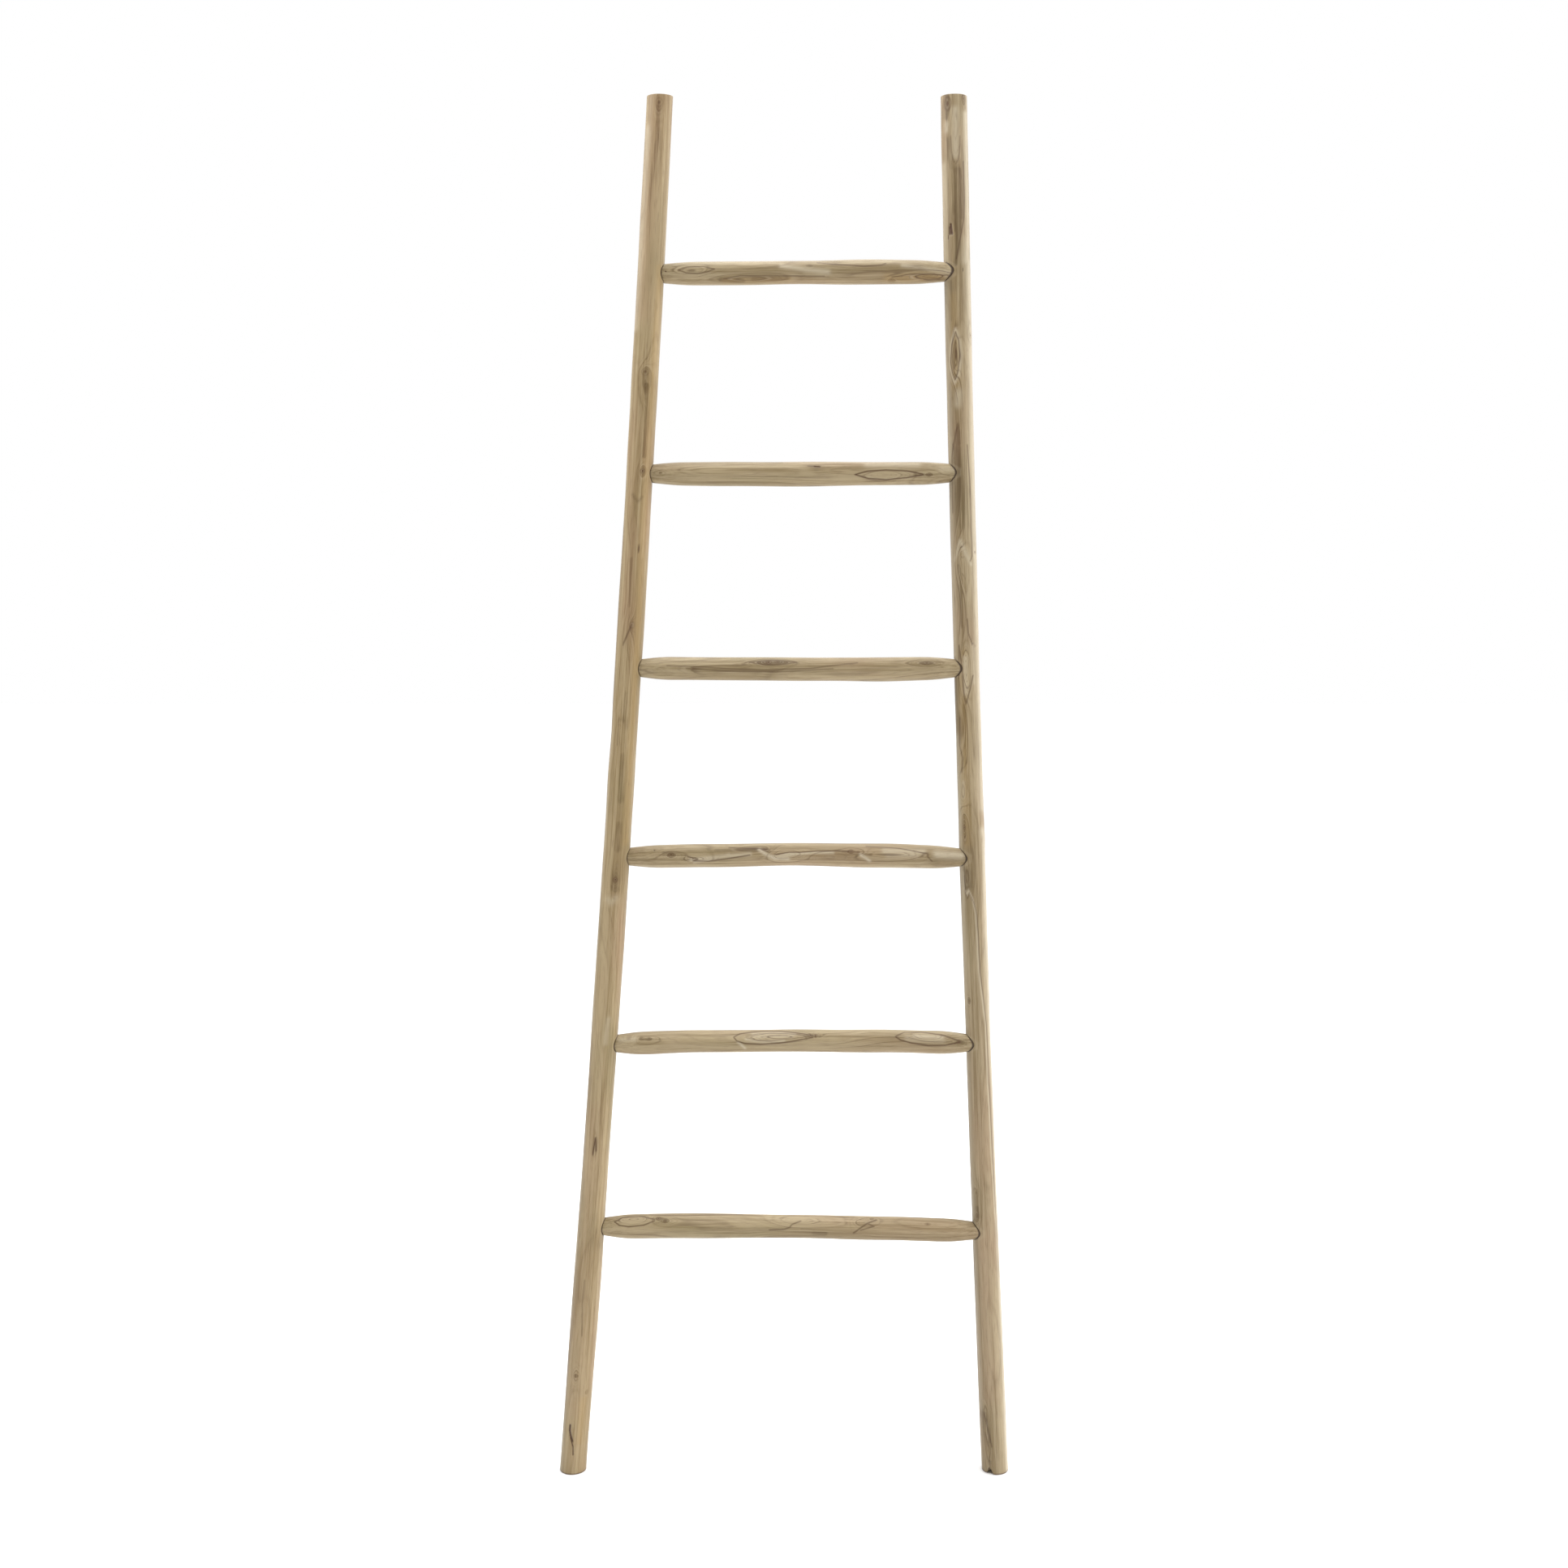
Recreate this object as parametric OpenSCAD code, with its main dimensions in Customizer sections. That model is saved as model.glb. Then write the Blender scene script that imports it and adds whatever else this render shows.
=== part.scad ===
// Leaning ladder of natural round poles: two long rails that splay towards the feet, and six rungs.
// A rung's ends are turned down to round tenons, which sit glued in blind round sockets in the rails,
// and one thin nail from the back of the rail locks each tenon.
// Millimetres. The floor is z = 0, -Y is the front, and the origin is midway between the feet.

/* [Ladder] */
// Height from the floor to the tops of the rails
ladder_h = 2000; // [1500:5:2400]
// Distance between the rails' centres at the floor
foot_span = 634; // [480:1:800]
// Distance between the rails' centres at their tops
top_span = 411; // [320:1:600]
// How far the middle of the tops lies to the right of the middle of the feet
top_shift = 32; // [-40:1:40]

/* [Rails] */
// Diameter of a rail, apart from its natural swells
rail_d = 38; // [31:0.5:50]
// How far each rail bends inwards at mid height
rail_bend = 6.5; // [0:0.5:15]
// How far each rail sweeps at mid height, the left one to the back and the right one to the front
rail_sweep = 2; // [0:0.5:8]
// Radius of the edge round the rails' cut ends
rail_end_r = 1.5; // [0.5:0.5:4]

/* [Rungs] */
// Height of the lowest rung's centre above the floor
first_rung_h = 372; // [250:1:450]
// Distance from the highest rung's centre up to the rails' tops
last_rung_drop = 243; // [150:1:350]
// Diameter of a rung, apart from its natural swells
rung_d = 33; // [27:0.5:42]
// Length over which a rung narrows to its tenon
rung_taper = 45; // [20:1:80]

/* [Sockets and tenons] */
// Diameter of a tenon
tenon_d = 26; // [18:0.5:31.5]
// Radial clearance between a tenon and its socket, for glue
glue_gap = 0.1; // [0.05:0.05:0.3]
// How far a tenon passes the middle of the rail
tenon_past = 5; // [0:0.5:8]
// Space between a tenon's end and the bottom of its socket
socket_relief = 1; // [0.5:0.5:3]
// Gap between a rung's shoulder and the rail's skin
shoulder_gap = 0.5; // [0.2:0.1:2]

/* [Nails] */
// Diameter of a nail's shank
nail_d = 2; // [1.4:0.1:3]
// Diameter of a nail's head
nail_head_d = 4; // [3:0.1:6]
// Thickness of a nail's head
nail_head_t = 1; // [0.5:0.1:2]
// How far a head is punched below the rail's skin
nail_sink = 0.6; // [0.2:0.1:2]
// Wood left in front of a nail's point
nail_cover = 10; // [6:0.5:14]
// Distance from the middle of the rail to the nail, towards the rung
nail_inset = 3; // [0:0.5:6]

/* [Hidden] */
rung_count = 6;

LEFT = 0;
RIGHT = 1;
OUTWARDS = [-1, 1];

$fn = 48;
rail_sides = 32;
rail_steps = 40;
rung_sides = 24;
rung_steps = 32;
shoulder_proud = 0.3;
punch_l = 10;
wood = [0.66, 0.58, 0.46];
steel = [0.62, 0.62, 0.60];

rung_pitch = (ladder_h - first_rung_h - last_rung_drop) / (rung_count - 1);
socket_r = tenon_d / 2 + glue_gap;
nail_l = rail_d - nail_cover;

// How much thicker each rail is than rail_d, evenly from its foot to its top.
rail_swell = [
    [1, 3, 0.5, 1.5, 0.5, 0.5, 0, 0, -1.5],
    [1.5, 1, -1, -2, -1, -1.5, -1.5, -0.5, -1.5]
];

// How much thicker each rung is than rung_d, and how far its middle line rises, evenly from its left
// end to its right, the top rung first.
rung_swell = [
    [-1.5, -1, -1, 1, -1],
    [-0.5, 1, 1.5, -0.5, -0.5],
    [0.5, 0, 1, 1.5, 0],
    [-0.5, 1, 0, 2, 0],
    [0.5, 0, -0.5, 0, 1.5],
    [2.5, 3, 0.5, 1, 0.5]
];
rung_rise = [
    [0, 0, 0.5, 0.5, 0],
    [0, -0.5, -1, -0.5, 0],
    [0, -1, -1.5, -1.5, 0],
    [0, 1.5, 4, 2.5, 0],
    [0, 3, 4, 3, 0],
    [0, 2.5, 3.5, 2, 0]
];

// How far each socket was drilled above the even spacing, and how far behind the rail's middle line,
// the second as a share of the wood beside it, the top rung first.
socket_lift = [
    [-1, -3, -3, 0, 0, 1],
    [0, -3, -3, 0, 3, -3]
];
socket_back = [
    [0.3, 0.4, 0.3, 0.4, 0.3, 0.3],
    [-0.8, -0.6, -0.6, -0.6, -0.6, -0.6]
];

// The value at share t along a list of evenly spaced ones, eased from each to the next.
function along(list, t) =
    let (place = t * (len(list) - 1),
         i = min(floor(place), len(list) - 2),
         ease = (1 - cos(180 * (place - i))) / 2)
    list[i] + (list[i + 1] - list[i]) * ease;

// Middle line and radius of a rail at height z.
function rail_x(side, z) =
    let (t = z / ladder_h)
    OUTWARDS[side] * ((foot_span * (1 - t) + top_span * t) / 2 - 4 * rail_bend * t * (1 - t))
        + top_shift * t;
function rail_y(side, z) = -OUTWARDS[side] * rail_sweep * sin(180 * z / ladder_h);
function rail_r(side, z) = (rail_d + along(rail_swell[side], z / ladder_h)) / 2;

// Where the axis of rung i meets the middle of a rail, front to back allowed for.
function socket_z(side, i) =
    ladder_h - last_rung_drop - (i - 1) * rung_pitch + socket_lift[side][i - 1];
function socket_spot(side, i) =
    let (z = socket_z(side, i))
    [rail_x(side, z), rail_y(side, z) + socket_back[side][i - 1] * (rail_r(side, z) - socket_r), z];

// Span of rung i between those spots, and its direction.
function rung_vector(i) = socket_spot(RIGHT, i) - socket_spot(LEFT, i);
function rung_turn(i) =
    let (v = rung_vector(i))
    [0, -atan2(v.z, norm([v.x, v.y])), atan2(v.y, v.x)];

// Cut ends of a rail: height above the end and how far the skin is drawn in, round the edge's arc.
end_arc = [for (a = [0 : 30 : 60]) [rail_end_r * (1 - cos(a)), rail_end_r * (1 - sin(a))]];

function rail_ring(side, z, drawn_in = 0) =
    let (r = rail_r(side, z) - drawn_in)
    [for (k = [0 : rail_sides - 1])
        let (a = 360 * k / rail_sides)
        [rail_x(side, z) + r * cos(a), rail_y(side, z) + r * sin(a), z]];

// Distance from a rail's middle to the shoulder of rung i, clear of the rail's skin where it leans.
function shoulder_at(side, i) =
    let (z = socket_z(side, i), r = tenon_d / 2)
    rail_r(side, z) + shoulder_gap + abs(rail_x(side, z + r) - rail_x(side, z - r)) / 2;

// Closed skin over a row of rings, each ring with the same number of points.
module skin(rings) {
    n = len(rings[0]);
    top = (len(rings) - 1) * n;
    walls = [for (i = [0 : len(rings) - 2], j = [0 : n - 1])
        let (a = i * n + j, b = i * n + (j + 1) % n)
        each [[a, a + n, b + n], [a, b + n, b]]];
    floor_face = [for (j = [0 : n - 1]) j];
    top_face = [for (j = [n - 1 : -1 : 0]) top + j];
    polyhedron([for (ring = rings) each ring], [floor_face, each walls, top_face], convexity = 4);
}

// Puts what is drawn along +X on the axis of rung i, starting where it meets the left rail's middle.
module along_rung(i) {
    translate(socket_spot(LEFT, i)) rotate(rung_turn(i)) children();
}

// Blind socket for rung i, from past a rail's middle out through its inner side.
module socket(side, i) {
    depth = rail_d + tenon_past + socket_relief;
    start = side == LEFT
        ? -tenon_past - socket_relief
        : norm(rung_vector(i)) + tenon_past + socket_relief - depth;
    along_rung(i) translate([start, 0, 0]) rotate([0, 90, 0]) cylinder(h = depth, r = socket_r);
}

// Nail through the tenon of rung i, pointing to the front; punched_l carries its hole out of the back.
module nail(side, i, punched_l = 0) {
    z = socket_z(side, i);
    r = rail_r(side, z);
    back = rail_y(side, z) + sqrt(r * r - nail_inset * nail_inset) - nail_sink;
    translate([rail_x(side, z) - OUTWARDS[side] * nail_inset, back, z]) rotate([90, 0, 0]) {
        cylinder(h = nail_l - nail_d, d = nail_d);
        translate([0, 0, nail_l - nail_d]) cylinder(h = nail_d, d1 = nail_d, d2 = nail_d / 4);
        translate([0, 0, -punched_l]) cylinder(h = nail_head_t + punched_l, d = nail_head_d);
    }
}

module rail(side) {
    step = (ladder_h - 2 * rail_end_r) / rail_steps;
    rings = [
        for (e = end_arc) rail_ring(side, e[0], e[1]),
        for (k = [0 : rail_steps]) rail_ring(side, rail_end_r + k * step),
        for (k = [len(end_arc) - 1 : -1 : 0]) rail_ring(side, ladder_h - end_arc[k][0], end_arc[k][1])
    ];
    color(wood) difference() {
        skin(rings);
        for (i = [1 : rung_count]) {
            socket(side, i);
            nail(side, i, punch_l);
        }
    }
}

// The body tapers at both ends to a shoulder just proud of the tenon, clear of the rail.
module rung(i) {
    span = norm(rung_vector(i));
    first = shoulder_at(LEFT, i);
    last = span - shoulder_at(RIGHT, i);
    shoulder_r = tenon_d / 2 + shoulder_proud;
    rings = [for (k = [0 : rung_steps])
        let (t = (1 - cos(180 * k / rung_steps)) / 2,
             s = first + (last - first) * t,
             fill = sin(90 * min(1, (s - first) / rung_taper, (last - s) / rung_taper)),
             r = shoulder_r + ((rung_d + along(rung_swell[i - 1], t)) / 2 - shoulder_r) * fill,
             rise = along(rung_rise[i - 1], t))
        [for (j = [0 : rung_sides - 1])
            let (a = 360 * j / rung_sides)
            [s, r * cos(a), r * sin(a) + rise]]];
    color(wood) difference() {
        along_rung(i) {
            skin(rings);
            translate([-tenon_past, 0, 0]) rotate([0, 90, 0])
                cylinder(h = span + 2 * tenon_past, d = tenon_d);
        }
        for (side = [LEFT, RIGHT]) nail(side, i);
    }
}

module locking_nails() {
    color(steel) for (side = [LEFT, RIGHT], i = [1 : rung_count]) nail(side, i);
}

rail(LEFT);  // rail_left
rail(RIGHT);  // rail_right
for (i = [1 : rung_count]) rung(i);
locking_nails();
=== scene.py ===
import math
import bpy
import numpy as np
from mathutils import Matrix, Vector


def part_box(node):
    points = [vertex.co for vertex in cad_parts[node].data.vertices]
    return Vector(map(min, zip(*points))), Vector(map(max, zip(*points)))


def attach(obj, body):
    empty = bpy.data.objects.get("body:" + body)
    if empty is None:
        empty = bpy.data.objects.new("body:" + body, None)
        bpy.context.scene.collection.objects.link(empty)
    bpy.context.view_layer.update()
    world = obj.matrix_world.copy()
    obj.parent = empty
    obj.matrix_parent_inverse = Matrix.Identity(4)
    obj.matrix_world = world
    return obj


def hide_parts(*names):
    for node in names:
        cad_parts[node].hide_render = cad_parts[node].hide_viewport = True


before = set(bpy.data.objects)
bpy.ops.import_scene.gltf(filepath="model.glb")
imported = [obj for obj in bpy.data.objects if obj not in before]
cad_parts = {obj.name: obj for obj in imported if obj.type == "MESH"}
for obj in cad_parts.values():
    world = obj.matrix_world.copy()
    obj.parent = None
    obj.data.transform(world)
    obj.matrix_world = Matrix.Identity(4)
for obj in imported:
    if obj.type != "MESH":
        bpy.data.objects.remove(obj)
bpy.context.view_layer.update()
scene = bpy.context.scene


# ----------------------------------------------------------------------
# Camera. It stands 2.4 m in front of the ladder's feet, midway between them and a little above the
# fourth rung from the floor, and looks slightly down. Colours are shown as they are, with no film look.

camera_place = (0.0, -2.4, 1.24)
camera_tip = math.radians(4.94)

camera_data = bpy.data.cameras.new("studio_camera")
camera_data.sensor_width = 36.0
camera_data.lens = 38.16
camera = bpy.data.objects.new("studio_camera", camera_data)
camera.location = camera_place
camera.rotation_euler = (math.pi / 2 - camera_tip, 0.0, 0.0)
scene.collection.objects.link(camera)
scene.camera = camera
scene.view_settings.view_transform = "Standard"


# ----------------------------------------------------------------------
# Left rail. One young teak pole, peeled of its bark, shaved and sanded, so it keeps its swells, its
# knots and the swirls of grain round them. Both ends are sawn and eased by hand, and six blind
# sockets are bored in its inner side, where the rungs' tenons are glued.

SOCKET_R = 0.0131
SOCKET_RELIEF = 0.001
AUGER_LENGTH = 0.06
MOUTH_EASE = 0.0002
MOUTH_EASE_WIDTH = 0.0016
MOUTH_FROM = 0.008
MOUTH_TO = 0.05
# How far out from each socket's wall the painted highlight ring round its mouth lies, and how wide it is.
MOUTH_HIGHLIGHT_OUT = 0.0020
MOUTH_HIGHLIGHT_WIDTH = 0.0011
RAIL_EDGE = 0.0007
RAIL_SIDES = 96
RAIL_ROWS = 0.0031
RAIL_FINE_ROWS = 0.0012
RAIL_FINE_REACH = 0.018
TOP_SLANT = 0.0035
TOP_SLANT_REACH = 0.02
FOOT_CHIP_REACH = 0.01
NAIL_PLAY = 1.05
NAIL_HEAD = 0.0011

FRONT = np.array([0.0, -1.0, 0.0])
RIGHTWARDS = np.array([1.0, 0.0, 0.0])
UPWARDS = np.array([0.0, 0.0, 1.0])


def rows_of(parts, name):
    """One row of three numbers for each of a mesh's points or faces."""
    rows = np.empty(len(parts) * 3)
    parts.foreach_get(name, rows)
    return rows.reshape(-1, 3)


def unit(vector):
    return vector / np.linalg.norm(vector)


def cad_points(node):
    """The different points of a CAD node's mesh, to a hundredth of a millimetre."""
    return np.unique(np.round(rows_of(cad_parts[node].data.vertices, "co"), 5), axis=0)


def tenon_ends(i):
    """The middles of the two end discs of rung i's tenons: the mean of the points within a millimetre
    of the node's lowest x, and of those within a millimetre of its highest."""
    points = cad_points(f"rung_{i}")
    x = points[:, 0]
    return points[x < x.min() + 0.001].mean(0), points[x > x.max() - 0.001].mean(0)


def nail_holes(x_side, z, nails=cad_points("locking_nails")):
    """Borings for the nail at height z on one side: one for its shank and one for its head, which runs
    on out of the back. Each is a twentieth wider than the nail, which points to the front."""
    nail = nails[(np.abs(nails[:, 2] - z) < 0.01) & (nails[:, 0] * x_side > 0)]
    low, high = nail.min(0), nail.max(0)
    middle = (low + high) / 2
    head_r = (high[0] - low[0]) / 2
    shank = nail[nail[:, 1] < high[1] - 0.005]
    shank_r = np.abs(shank[:, 0] - middle[0]).max()
    depths = (low[1], high[1] - NAIL_HEAD, high[1] + 0.004)
    tip, neck, out = (np.array([middle[0], y, middle[2]]) for y in depths)
    return [(tip, neck + FRONT * -0.0005, NAIL_PLAY * shank_r), (neck, out, NAIL_PLAY * head_r)]


def around(count):
    """Angles once round a pole, closer together at its front: even steps, less a share of their sine."""
    even = np.linspace(0, 2 * math.pi, count, endpoint=False)
    return even - 0.4 * np.sin(even)


class Pole:
    """A round pole's middle line and radius, read off the rings of points of its CAD node that are
    further out than thinnest and clear of its ends. A point of its skin is given by s, the distance
    along the straight line from start to end, and a, the angle round the middle line, from the front
    towards side."""

    CLEAR_OF_ENDS = 0.0014
    ONE_RING = 0.00006
    NEXT_RING = 0.0001
    ROUND_WITHIN = 0.00004
    FEWEST_POINTS = 16

    def __init__(self, node, start, end, side, thinnest):
        self.start = start
        self.length = np.linalg.norm(end - start)
        self.axis = unit(end - start)
        self.front = unit(FRONT - self.axis * (FRONT @ self.axis))
        self.side = np.cross(self.axis, self.front)
        self.side *= np.sign(self.side @ side)
        offset = cad_points(node) - start
        s, u, v = offset @ self.axis, offset @ self.front, offset @ self.side
        skin = (np.hypot(u, v) > thinnest) & (np.minimum(s, self.length - s) > self.CLEAR_OF_ENDS)
        rings = []
        for place in np.unique(np.round(s[skin], 4)):
            on = (np.abs(s - place) < self.ONE_RING) & skin
            too_near = rings and s[on].mean() - rings[-1][0] < self.NEXT_RING
            if on.sum() < self.FEWEST_POINTS or too_near:
                continue
            sums = np.stack([2 * u[on], 2 * v[on], np.ones(on.sum())], 1)
            u0, v0, rest = np.linalg.lstsq(sums, u[on] ** 2 + v[on] ** 2, rcond=None)[0]
            radius = math.sqrt(rest + u0 ** 2 + v0 ** 2)
            if np.abs(np.hypot(u[on] - u0, v[on] - v0) - radius).max() < self.ROUND_WITHIN:
                rings.append((s[on].mean(), u0, v0, radius))
        self.rings = np.array(rings)

    def eased(self, column, s):
        """One measured value at distance s: a cubic between each two rings, whose slopes are those
        of the lines through the rings on either side."""
        at, value = self.rings[:, 0], self.rings[:, column]
        slope = np.gradient(value, at)
        i = np.clip(np.searchsorted(at, s) - 1, 0, len(at) - 2)
        gap = at[i + 1] - at[i]
        t = np.clip((s - at[i]) / gap, 0, 1)
        return (value[i] * (1 + 2 * t) * (1 - t) ** 2 + value[i + 1] * t ** 2 * (3 - 2 * t)
                + gap * (slope[i] * t * (1 - t) ** 2 - slope[i + 1] * t ** 2 * (1 - t)))

    def points(self, s, a, r):
        """Middle line at s, plus r in the direction of angle a."""
        u = self.eased(1, s) + r * np.cos(a)
        v = self.eased(2, s) + r * np.sin(a)
        return self.start + s[..., None] * self.axis + u[..., None] * self.front + v[..., None] * self.side

    def places(self, points):
        """The s, a and r of points: the same sum, the other way round."""
        offset = points - self.start
        s = offset @ self.axis
        u = offset @ self.front - self.eased(1, s)
        v = offset @ self.side - self.eased(2, s)
        return s, np.arctan2(v, u), np.hypot(u, v)


def turn(a, a0):
    """The angle from a0 to a, the short way round."""
    return (a - a0 + math.pi) % (2 * math.pi) - math.pi


def mound(s, a, girth, s0, a0, reach, width, reach_back=None):
    """A hill of height 1 at (s0, a0): e to the minus distance along the grain over reach (reach_back on
    the side of lower s) squared, times the same across it over width, to the power 1.6 for a keener top."""
    along = (s - s0) / np.where(s > s0, reach, reach_back or reach)
    across = np.abs(girth * turn(a, math.radians(a0)) / width)
    return np.exp(-along ** 2 - across ** 1.6)


def ripple(s, a, seed, shortest, longest, most_turns, count=28):
    """Smooth unevenness from about -1 to 1: a sum of cosine waves that run along the pole with lengths
    from shortest to longest, and close on themselves round it after 0 to most_turns whole waves."""
    rng = np.random.default_rng(seed)
    lengths = shortest * (longest / shortest) ** rng.random(count)
    turns = rng.integers(-most_turns, most_turns + 1, count)
    phases = rng.random(count) * 2 * math.pi
    total = np.zeros(np.shape(s))
    for length, times, phase in zip(lengths, turns, phases):
        total += np.cos(2 * math.pi * s / length + times * a + phase)
    return total * 1.4 / math.sqrt(count)


def crevice(s, a, girth, points, width, power=2):
    """1 along a broken line of (s, angle) points, falling off over width: e to the minus distance in
    widths to the power."""
    near = np.full(np.shape(s), np.inf)
    for (s0, a0), (s1, a1) in zip(points, points[1:]):
        ds, da = s1 - s0, girth * math.radians(a1 - a0)
        ps, pa = s - s0, girth * turn(a, math.radians(a0))
        t = np.clip((ps * ds + pa * da) / (ds * ds + da * da), 0, 1)
        near = np.minimum(near, np.hypot(ps - t * ds, pa - t * da))
    return np.exp(-(near / width) ** power)


def stations(length, coarse, fine, places, reach):
    """Distances along a pole, coarse apart, and fine apart near the places: the running sum of the
    density, cut into even steps."""
    s = np.linspace(0, length, 8000)
    near = np.zeros_like(s)
    for place in places:
        near = np.maximum(near, np.exp(-((s - place) / reach) ** 4))
    density = 1 / coarse + (1 / fine - 1 / coarse) * near
    steps = np.concatenate([[0], np.cumsum((density[1:] + density[:-1]) / 2 * np.diff(s))])
    return np.interp(np.linspace(0, steps[-1], int(steps[-1]) + 1), steps, s)


def closed_skin(name, points, foot, tip, outwards):
    """Mesh over a grid of points, rows along the piece and columns round it: each four neighbours make a
    face, and a fan to one more point closes each end. Faces turn outwards when outwards is 1."""
    rows, columns = points.shape[:2]
    corner = np.arange(rows * columns).reshape(rows, columns)
    beside = np.roll(corner, -1, 1)
    walls = np.stack([corner[:-1], beside[:-1], beside[1:], corner[1:]], -1).reshape(-1, 4)
    foot_fan = np.stack([beside[0], corner[0], np.full(columns, rows * columns)], -1)
    tip_fan = np.stack([corner[-1], beside[-1], np.full(columns, rows * columns + 1)], -1)
    faces = [*walls[:, ::outwards], *foot_fan[:, ::outwards], *tip_fan[:, ::outwards]]
    mesh = bpy.data.meshes.new(name)
    mesh.from_pydata(np.vstack([points.reshape(-1, 3), foot, tip]), [], faces)
    return mesh


def capped(s_rows, edge, length, caps):
    """Rows of a pole with eased ends: distance along it, how far the skin is drawn in round the edge's
    quarter circle, and the share of the radius that is left on the flat caps."""
    quarter = np.radians(np.arange(0, 90, 22.5))
    arc_s, arc_in = edge * (1 - np.cos(quarter)), edge * (1 - np.sin(quarter))
    flat = np.array(caps)
    zero, one = np.zeros(len(flat)), np.ones(len(arc_s) + len(s_rows) + len(arc_s))
    body = edge + (length - 2 * edge) * s_rows / s_rows[-1]
    return (np.concatenate([zero, arc_s, body, length - arc_s[::-1], zero + length]),
            np.concatenate([zero + edge, arc_in, 0 * body, arc_in[::-1], zero + edge]),
            np.concatenate([flat, one, flat[::-1]]))


def add_values(mesh, name, values, domain="POINT"):
    """Stores one number, or one vector, for each of a mesh's points, or for each of its faces."""
    kind, slot = ("FLOAT_VECTOR", "vector") if values.ndim == 2 else ("FLOAT", "value")
    mesh.attributes.new(name, kind, domain).data.foreach_set(slot, values.astype(np.float32).ravel())


def bored(blank, borings):
    """The blank with round holes bored in it, each given by its start, its end and its radius."""
    piece = bpy.data.objects.new(blank.name, blank)
    scene.collection.objects.link(piece)
    augers = []
    for start, end, radius in borings:
        axis = unit(end - start)
        u = unit(np.cross(axis, UPWARDS))
        a = np.linspace(0, 2 * math.pi, 96, endpoint=False)
        ring = radius * (np.cos(a)[:, None] * u + np.sin(a)[:, None] * np.cross(axis, u))
        auger_skin = closed_skin("auger", np.stack([start + ring, end + ring]), start, end, 1)
        auger = bpy.data.objects.new("auger", auger_skin)
        scene.collection.objects.link(auger)
        cut = piece.modifiers.new("boring", "BOOLEAN")
        cut.operation = "DIFFERENCE"
        cut.solver = "EXACT"
        cut.object = auger
        augers.append(auger)
    mesh = bpy.data.meshes.new_from_object(piece.evaluated_get(bpy.context.evaluated_depsgraph_get()))
    for gone in [piece, *augers]:
        bpy.data.objects.remove(gone)
    return mesh


def place_piece(name, mesh, node, material):
    """Makes the finished piece from its mesh, in the place of its CAD node."""
    mesh.name = name
    mesh.materials.clear()
    mesh.materials.append(material)
    mesh.shade_smooth()
    mesh.set_sharp_from_angle(angle=math.radians(50))
    piece = bpy.data.objects.new(name, mesh)
    scene.collection.objects.link(piece)
    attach(piece, "root")
    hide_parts(node)
    return piece


class Strand:
    """One output of a material's nodes. Arithmetic on strands and numbers adds Math nodes."""

    def __init__(self, finish, socket):
        self.finish, self.socket = finish, socket

    def math(self, operation, *values):
        return self.finish.node("ShaderNodeMath", {"operation": operation}, dict(enumerate(values)))

    def __add__(self, other):
        return self.math("ADD", self, other)

    def __sub__(self, other):
        return self.math("SUBTRACT", self, other)

    def __rsub__(self, other):
        return self.math("SUBTRACT", other, self)

    def __mul__(self, other):
        return self.math("MULTIPLY", self, other)

    __radd__ = __add__
    __rmul__ = __mul__


class Finish:
    """A material, or the surround, being made up. node() adds any node: its type, its settings, its
    inputs, and which output is taken from it."""

    def __init__(self, owner):
        self.owner = owner
        owner.use_nodes = True
        self.tree = owner.node_tree
        self.tree.nodes.clear()

    def node(self, kind, settings, inputs, output=0):
        node = self.tree.nodes.new(kind)
        for name, value in settings.items():
            setattr(node, name, value)
        for name, value in inputs.items():
            if isinstance(value, Strand):
                self.tree.links.new(value.socket, node.inputs[name])
            else:
                node.inputs[name].default_value = value
        return Strand(self, node.outputs[output]) if node.outputs else None

    def value(self, name):
        return self.node("ShaderNodeAttribute", {"attribute_name": name}, {}, "Fac")

    def straight(self, *stretch):
        """The piece's place laid straight, stretched to set how long and wide a pattern is."""
        laid = self.node("ShaderNodeAttribute", {"attribute_name": "laid"}, {}, "Vector")
        return self.node("ShaderNodeVectorMath", {"operation": "MULTIPLY"}, {0: laid, 1: stretch})

    def noise(self, vector, detail=2.0, roughness=0.5):
        inputs = {"Vector": vector, "Scale": 1.0, "Detail": detail, "Roughness": roughness}
        return self.node("ShaderNodeTexNoise", {"noise_dimensions": "3D"}, inputs)

    def ramp(self, value, low, high, at_low=0.0, at_high=1.0):
        """Runs smoothly from at_low to at_high while value goes from low to high."""
        return self.node("ShaderNodeMapRange", {"interpolation_type": "SMOOTHSTEP"},
                         {0: value, 1: low, 2: high, 3: at_low, 4: at_high})

    def mix(self, share, first, second):
        return self.node("ShaderNodeMix", {"data_type": "RGBA"}, {0: share, 6: first, 7: second}, 2)

    def surface(self, constants, colour, roughness, height, depth):
        bump = self.node("ShaderNodeBump", {}, {"Strength": 1.0, "Distance": depth, "Height": height})
        inputs = {"Base Color": colour, "Roughness": roughness, "Normal": bump, **constants}
        shader = self.node("ShaderNodeBsdfPrincipled", {}, inputs)
        self.node("ShaderNodeOutputMaterial", {}, {"Surface": shader})
        return self.owner


def paint(red, green, blue):
    """A colour as a paint card gives it, 0 to 255, as the linear light that a shader takes."""
    share = np.array([red, green, blue]) / 255
    return (*np.where(share < 0.04045, share / 12.92, ((share + 0.055) / 1.055) ** 2.4).tolist(), 1.0)


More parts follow.
